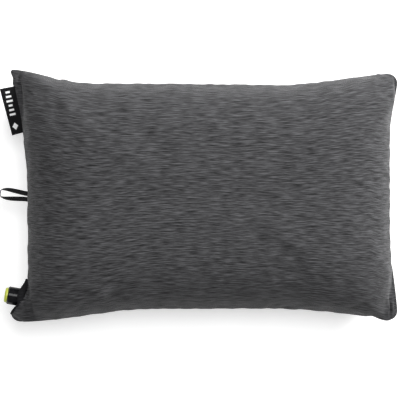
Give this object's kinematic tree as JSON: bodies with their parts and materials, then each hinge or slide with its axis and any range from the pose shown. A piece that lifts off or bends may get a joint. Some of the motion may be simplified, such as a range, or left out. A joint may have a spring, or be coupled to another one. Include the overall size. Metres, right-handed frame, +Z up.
{
  "type": "camp pillow",
  "caption": "Inflatable rectangular camping pillow with a soft foam top, a stretch fabric case, a twist valve at one corner, a side hang loop and a sewn-in side tag.",
  "frame": {"origin": "middle of the flat patch that the pillow rests on, on its underside", "axes": "+Z up through the face that the head rests on, X along the long sides with the valve, loop and label on the -X end, +Y towards the end of that side with the label"},
  "size_m": [0.4435, 0.28, 0.1],
  "materials": {
    "knit_face": "heathered grey stretch knit",
    "knit_back": "plain dark grey knit",
    "binding": "black bias binding",
    "ribbon": "black woven ribbon",
    "label_ribbon": "black woven label with a plain white pattern",
    "foam": "open-cell foam",
    "film": "coated air-cell film",
    "valve_black": "black moulded plastic",
    "valve_tip": "yellow-green moulded plastic",
    "seal": "silicone seal"
  },
  "bodies": {
    "pillow": {"case_face_panel": "knit_face", "case_back_tucked": "knit_back", "case_back_plain": "knit_back", "case_seam_allowance": "knit_back", "valve_port_binding": "binding", "foam_topper": "foam", "air_cell_top_film": "film", "air_cell_bottom_film": "film", "air_cell_web_1": "film", "air_cell_web_2": "film", "air_cell_web_3": "film", "air_cell_web_4": "film", "valve_fitment": "film", "valve_stem": "valve_black", "valve_post": "valve_black", "plug_o_ring": "seal", "check_flap_seat": "valve_black", "check_flap": "seal"},
    "mouthpiece": {"valve_mouthpiece": "valve_tip", "mouthpiece_circlip": "valve_black", "mouthpiece_o_ring": "seal"},
    "collar": {"valve_collar": "valve_black"},
    "label": {"side_label": "label_ribbon"},
    "loop": {"hang_loop": "ribbon"}
  },
  "joints": [
    {"name": "mouthpiece_slide", "type": "slide", "parent": "pillow", "child": "mouthpiece", "axis": [-0.9752, 0.172, 0.1392], "range_m": [0, 0.00375]},
    {"name": "collar_twist", "type": "hinge", "parent": "mouthpiece", "child": "collar", "pos_m": [-0.2104, -0.11254, 0.04937], "axis": [-0.9752, 0.172, 0.1392], "range_deg": [0, 450.5]},
    {"name": "label_flop", "type": "hinge", "parent": "pillow", "child": "label", "pos_m": [-0.2074, 0.095, 0.047], "axis": [0.1829, -0.9831, 0], "range_deg": [-55, 55], "stiffness_Nm_per_rad": 0.0012},
    {"name": "loop_flop", "type": "hinge", "parent": "pillow", "child": "loop", "pos_m": [-0.1968, -0.0016, 0.047], "axis": [0, -1, 0], "range_deg": [-55, 55], "stiffness_Nm_per_rad": 0.0012}
  ],
  "couplings": [
    {"joint": "collar_twist", "follows": "mouthpiece_slide", "rad_per_m": 2094.4}
  ]
}
